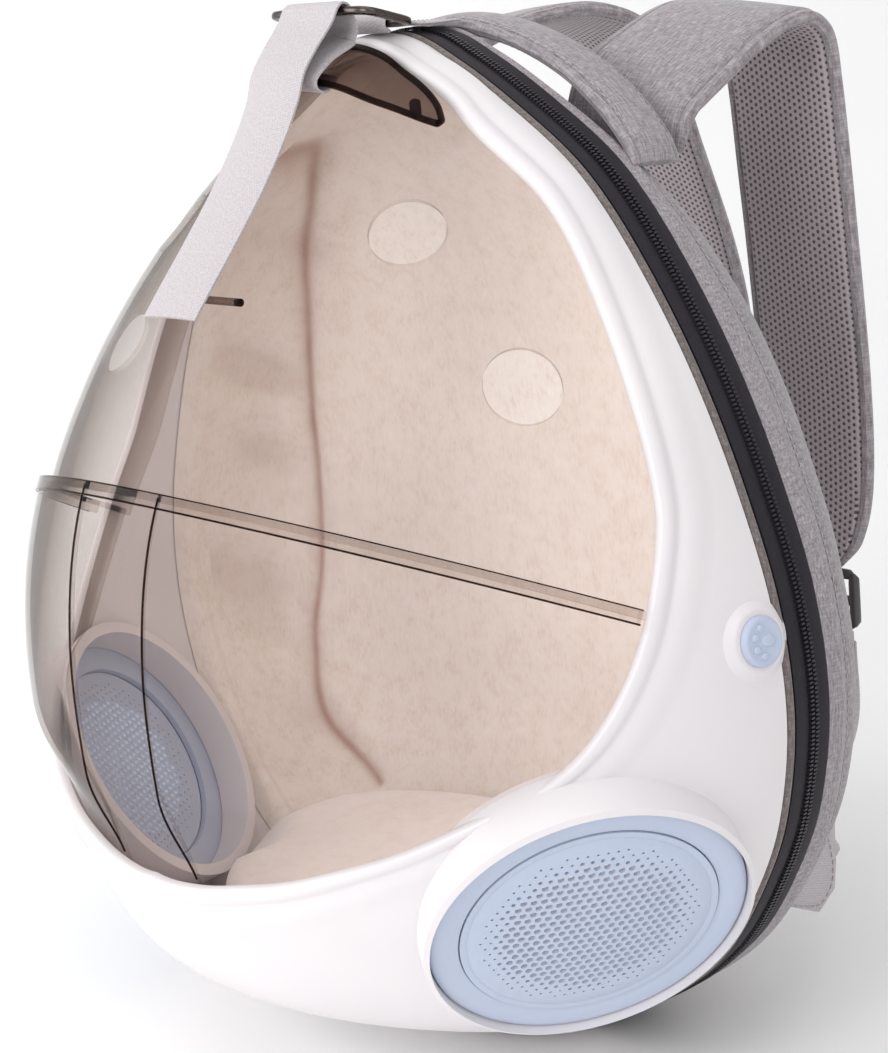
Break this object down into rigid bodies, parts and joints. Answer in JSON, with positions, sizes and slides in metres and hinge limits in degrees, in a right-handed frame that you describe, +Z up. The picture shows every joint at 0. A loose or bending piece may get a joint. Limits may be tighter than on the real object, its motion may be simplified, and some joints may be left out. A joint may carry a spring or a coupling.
{
  "type": "bubble pet carrier backpack",
  "caption": "Egg-shaped pet carrier backpack with a clear bubble front, white shell, side vents, zipped soft back and padded shoulder straps.",
  "frame": {"origin": "on the flat underside of the white shell, on the middle line", "axes": "+Z up, -Y the clear bubble front, +Y the wearer's side, +X the side of the nearer strap"},
  "size_m": [0.3738, 0.426, 0.4208],
  "materials": {
    "shell": "satin",
    "pale_blue": "satin",
    "clear": "gloss",
    "smoky": "gloss",
    "webbing": "matte",
    "gunmetal": "gloss",
    "piping": "matte",
    "zip": "matte",
    "melange": "matte",
    "plush": "matte",
    "lock": "matte"
  },
  "bodies": {
    "root": {"shell_front": "shell", "bubble_upper": "clear", "bubble_lower": "clear", "bubble_front_panel": "clear", "latch_handle": "smoky", "strap_peg": "smoky", "hatch_strap": "webbing", "strap_anchor": "webbing", "hatch_buckle": "gunmetal", "piping": "piping", "zipper_tape": "zip", "zipper_coil": "zip", "back_shell": "melange", "lining": "plush", "seat_cushion": "plush", "carry_handle": "melange", "vent_ring_right": "pale_blue", "vent_grille_right": "pale_blue", "paw_button_right": "pale_blue", "shoulder_strap_right": "melange", "adjuster_right": "lock", "strap_web_right": "webbing", "web_tab_right": "webbing", "vent_ring_left": "pale_blue", "vent_grille_left": "pale_blue", "paw_button_left": "pale_blue", "shoulder_strap_left": "melange", "adjuster_left": "lock", "strap_web_left": "webbing", "web_tab_left": "webbing"}
  },
  "joints": []
}
